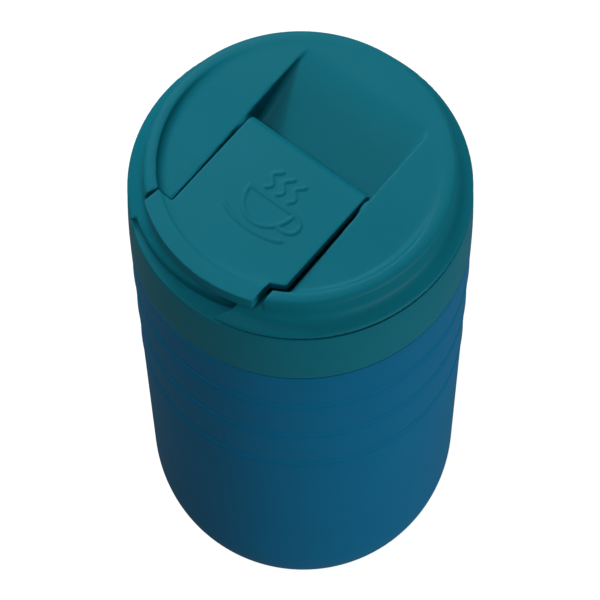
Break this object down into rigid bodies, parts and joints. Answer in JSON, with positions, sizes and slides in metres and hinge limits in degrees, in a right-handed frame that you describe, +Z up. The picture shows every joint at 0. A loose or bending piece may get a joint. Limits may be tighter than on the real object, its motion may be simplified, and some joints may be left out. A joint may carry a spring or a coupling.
{
  "type": "insulated travel cup",
  "caption": "Double-walled steel travel cup with shallow grip ribs, and a screw-on plastic lid with a hinged sip flap",
  "frame": {"origin": "centre of the foot pad's underside, on the surface that the cup stands on", "axes": "+Z up along the cup's axis; the flap's finger tab and drink hole point to -Y, the hinge pin lies along X"},
  "size_m": [0.0842, 0.0842, 0.1706],
  "materials": {
    "powder_coat": "satin blue powder coat on stainless steel",
    "bare_steel": "fine brushed stainless steel",
    "solder": "dull solder",
    "getter_metal": "sintered dark metal",
    "foot_silicone": "matte dark silicone",
    "lid_plastic": "satin teal polypropylene with a fine moulded grain",
    "liner_plastic": "satin dark teal polypropylene",
    "seal_silicone": "translucent milky silicone"
  },
  "bodies": {
    "cup": {"outer_shell": "powder_coat", "inner_flask": "bare_steel", "shell_base": "bare_steel", "seal_bead": "solder", "getter": "getter_metal", "base_pad": "foot_silicone"},
    "lid_seal": {"lid_gasket": "seal_silicone"},
    "lid": {"lid_collar": "lid_plastic", "lid_shell": "lid_plastic", "lid_inner": "liner_plastic", "spout_seal": "seal_silicone", "vent_seal": "seal_silicone", "hinge_pin": "bare_steel"},
    "flap": {"flap": "lid_plastic", "flap_underplate": "liner_plastic", "spout_stopper": "seal_silicone", "vent_stopper": "seal_silicone"}
  },
  "joints": [
    {"name": "lid_lift", "type": "slide", "parent": "cup", "child": "lid_seal", "axis": [0, 0, 1], "range_m": [0, 0.02401]},
    {"name": "lid_turn", "type": "hinge", "parent": "lid_seal", "child": "lid", "pos_m": [0, 0, 0.14], "axis": [0, 0, 1], "range_deg": [0, 540]},
    {"name": "flap_hinge", "type": "hinge", "parent": "lid", "child": "flap", "pos_m": [0, 0.0012, 0.1667], "axis": [-1, 0, 0], "range_deg": [0, 160]}
  ],
  "couplings": [
    {"joint": "lid_lift", "follows": "lid_turn", "m_per_rad": 0.0025465}
  ]
}
